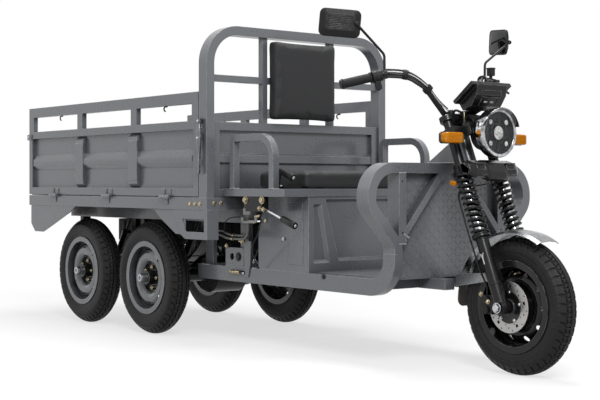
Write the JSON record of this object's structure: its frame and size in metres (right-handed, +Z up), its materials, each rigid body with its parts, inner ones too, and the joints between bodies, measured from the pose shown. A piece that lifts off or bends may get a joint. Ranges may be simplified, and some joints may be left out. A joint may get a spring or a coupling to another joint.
{
  "type": "cargo trike",
  "caption": "Motorized cargo trike with a drop-side load bed on two rear axles, a step-through footwell and a sprung, steered front fork.",
  "frame": {"origin": "on the floor, at the middle of the overall length and width", "axes": "+X forward, +Y to the left, +Z up"},
  "size_m": [3.272, 1.069, 1.39],
  "materials": {
    "frame_paint": "satin-gloss blue-grey stove enamel",
    "vinyl": "dark grained vinyl over foam",
    "black_paint": "gloss black enamel on steel",
    "battery_case": "matt black case",
    "black_plastic": "fine-textured black moulding",
    "chrome": "bright plated steel",
    "disc_steel": "ground steel",
    "amber_lens": "clear amber moulding",
    "red_lens": "clear red moulding",
    "rubber": "soft moulded rubber",
    "tyre": "treaded black rubber"
  },
  "bodies": {
    "chassis": {"low_frame": "frame_paint", "upper_frame": "frame_paint", "frame_risers": "frame_paint", "guard_frame": "frame_paint", "head_tube": "frame_paint", "apron_plate": "frame_paint", "footwell_floor": "frame_paint", "seat_box": "frame_paint", "battery_block": "battery_case", "seat_frame": "frame_paint", "seat_cushion": "vinyl", "backrest": "vinyl", "bed_frame": "frame_paint", "bed_floor": "frame_paint", "headboard": "frame_paint", "roll_hoop": "frame_paint", "bed_skirts": "frame_paint", "rear_axles": "black_paint", "rear_suspension": "black_paint", "hand_levers": "black_paint", "brake_hoses": "black_paint", "tail_lamps": "red_lens"},
    "steering": {"fork": "black_paint", "fork_springs": "black_paint", "front_fender": "chrome", "mud_flap": "rubber", "brake_caliper": "black_plastic", "headlight": "black_plastic", "signal_lamps": "amber_lens", "fork_cowl": "black_plastic", "handlebar": "black_paint", "hand_grips": "black_plastic", "mirrors": "black_plastic", "display": "black_plastic", "brake_line": "black_paint"},
    "front_wheel": {"front_tyre": "tyre", "front_rim": "black_paint", "brake_disc": "disc_steel"},
    "rear_wheel_right_1": {"rear_tyre_right_1": "tyre", "rear_rim_right_1": "frame_paint"},
    "rear_wheel_right_2": {"rear_tyre_right_2": "tyre", "rear_rim_right_2": "frame_paint"},
    "rear_wheel_left_1": {"rear_tyre_left_1": "tyre", "rear_rim_left_1": "frame_paint"},
    "rear_wheel_left_2": {"rear_tyre_left_2": "tyre", "rear_rim_left_2": "frame_paint"},
    "gate_right": {"gate_right": "frame_paint"},
    "gate_left": {"gate_left": "frame_paint"},
    "tailgate": {"tailgate": "frame_paint"}
  },
  "joints": [
    {"name": "steer", "type": "hinge", "parent": "chassis", "child": "steering", "pos_m": [1.346, 0, 0.2395], "axis": [-0.3746, 0, 0.9272], "range_deg": [-40, 40]},
    {"name": "front_wheel_spin", "type": "hinge", "parent": "steering", "child": "front_wheel", "pos_m": [1.382, 0, 0.254], "axis": [0, 1, 0], "continuous": true},
    {"name": "rear_wheel_spin_right_1", "type": "hinge", "parent": "chassis", "child": "rear_wheel_right_1", "pos_m": [-0.559, -0.385, 0.265], "axis": [0, 1, 0], "continuous": true},
    {"name": "rear_wheel_spin_right_2", "type": "hinge", "parent": "chassis", "child": "rear_wheel_right_2", "pos_m": [-1.183, -0.385, 0.265], "axis": [0, 1, 0], "continuous": true},
    {"name": "rear_wheel_spin_left_1", "type": "hinge", "parent": "chassis", "child": "rear_wheel_left_1", "pos_m": [-0.559, 0.385, 0.265], "axis": [0, 1, 0], "continuous": true},
    {"name": "rear_wheel_spin_left_2", "type": "hinge", "parent": "chassis", "child": "rear_wheel_left_2", "pos_m": [-1.183, 0.385, 0.265], "axis": [0, 1, 0], "continuous": true},
    {"name": "gate_right_fold", "type": "hinge", "parent": "chassis", "child": "gate_right", "pos_m": [-0.726, -0.5235, 0.648], "axis": [1, 0, 0], "range_deg": [0, 175]},
    {"name": "gate_left_fold", "type": "hinge", "parent": "chassis", "child": "gate_left", "pos_m": [-0.726, 0.5235, 0.648], "axis": [-1, 0, 0], "range_deg": [0, 175]},
    {"name": "tailgate_fold", "type": "hinge", "parent": "chassis", "child": "tailgate", "pos_m": [-1.628, 0, 0.648], "axis": [0, -1, 0], "range_deg": [0, 175]}
  ]
}
